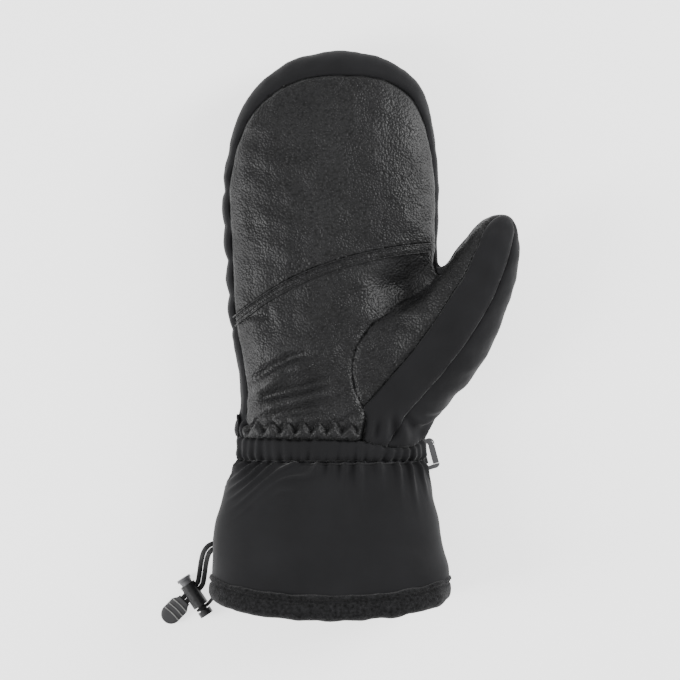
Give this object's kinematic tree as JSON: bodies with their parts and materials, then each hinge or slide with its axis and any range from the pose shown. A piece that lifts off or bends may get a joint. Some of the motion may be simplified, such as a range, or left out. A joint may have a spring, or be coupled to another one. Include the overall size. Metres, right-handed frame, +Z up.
{
  "type": "ski mitten",
  "caption": "Right-hand insulated ski mitten with a leather palm, gathered wrist, flared gauntlet cuff, drawcord hem with cord lock and pull tab, and a pairing clip.",
  "frame": {"origin": "on the surface that the mitten lies on, under the hand's centreline, midway between hem and fingertip", "axes": "+X towards the thumb side, +Y from the cuff towards the fingertips, +Z up out of the palm"},
  "size_m": [0.1933, 0.3066, 0.0639],
  "materials": {
    "shell_fabric": "matte brushed softshell",
    "palm_leather": "pebble-grained synthetic leather, soft sheen",
    "hem_knit": "brushed knit binding",
    "insulation": "lofted polyester fibre",
    "insert_film": "thin waterproof film",
    "fleece": "brushed fleece",
    "elastic": "woven elastic",
    "webbing": "ribbed nylon webbing",
    "cord": "braided elastic cord",
    "black_plastic": "moulded, satin gloss",
    "grey_plastic": "moulded, satin",
    "soft_tab": "moulded soft plastic with raised ribs",
    "spring_wire": "drawn wire",
    "label": "blank woven label"
  },
  "bodies": {
    "cuff": {"gauntlet": "shell_fabric", "wrist_yoke": "shell_fabric", "wrist_elastic_lower": "elastic", "cuff_lining": "fleece", "hem_binding": "hem_knit", "hem_drawcord": "cord", "care_label": "label", "wrist_strap": "webbing", "clip_webbing": "webbing", "cord_eyelet": "black_plastic", "draw_loop": "cord", "lock_barrel": "black_plastic", "lock_tether": "cord"},
    "hand": {"back_shell": "shell_fabric", "upper_palm": "palm_leather", "lower_palm": "palm_leather", "insulation_back": "insulation", "insulation_palm": "insulation", "membrane_insert": "insert_film", "hand_lining": "fleece", "wrist_elastic_upper": "elastic", "thumb_base_insulation": "insulation"},
    "thumb": {"thumb_palm": "palm_leather", "thumb_side": "shell_fabric", "thumb_back": "shell_fabric", "thumb_insulation": "insulation", "thumb_membrane": "insert_film", "thumb_lining": "fleece"},
    "clip": {"clip_frame": "grey_plastic"},
    "gate": {"clip_gate": "grey_plastic"},
    "button": {"lock_button": "grey_plastic", "lock_spring": "spring_wire"},
    "cord_end": {"tab_cord_stop": "grey_plastic"},
    "tab": {"pull_tab": "soft_tab"}
  },
  "joints": [
    {"name": "wrist_flex", "type": "hinge", "parent": "cuff", "child": "hand", "pos_m": [0, -0.07061, 0.024], "axis": [1, 0, 0], "range_deg": [-15, 20], "stiffness_Nm_per_rad": 0.4, "deforming": ["wrist_strap"]},
    {"name": "thumb_flex", "type": "hinge", "parent": "hand", "child": "thumb", "pos_m": [0.05864, 0.00156, 0.03126], "axis": [0.831, -0.5563, 0], "range_deg": [-8, 25], "stiffness_Nm_per_rad": 0.08, "deforming": ["thumb_palm", "thumb_side", "thumb_back"]},
    {"name": "clip_swing", "type": "hinge", "parent": "cuff", "child": "clip", "pos_m": [0.0493, -0.0653, 0.0027], "axis": [0.2588, -0.9659, 0], "range_deg": [0, 95]},
    {"name": "gate_pivot", "type": "hinge", "parent": "clip", "child": "gate", "pos_m": [0.05394, -0.05867, 0.0027], "axis": [0, 0, -1], "range_deg": [0, 12], "stiffness_Nm_per_rad": 0.002},
    {"name": "lock_press", "type": "slide", "parent": "cuff", "child": "button", "axis": [0.5446, -0.8387, 0], "range_m": [0, 0.0022], "stiffness_N_per_m": 600, "springref_m": -0.001, "deforming": ["lock_spring"]},
    {"name": "cord_pull", "type": "slide", "parent": "cuff", "child": "cord_end", "axis": [-0.6947, -0.7193, 0], "range_m": [0, 0.015], "deforming": ["draw_loop"]},
    {"name": "tab_swing", "type": "hinge", "parent": "cord_end", "child": "tab", "pos_m": [-0.08251, -0.14657, 0.00371], "axis": [-0.0726, -0.0752, 0.9945], "range_deg": [-15, 15], "deforming": ["draw_loop"]}
  ]
}
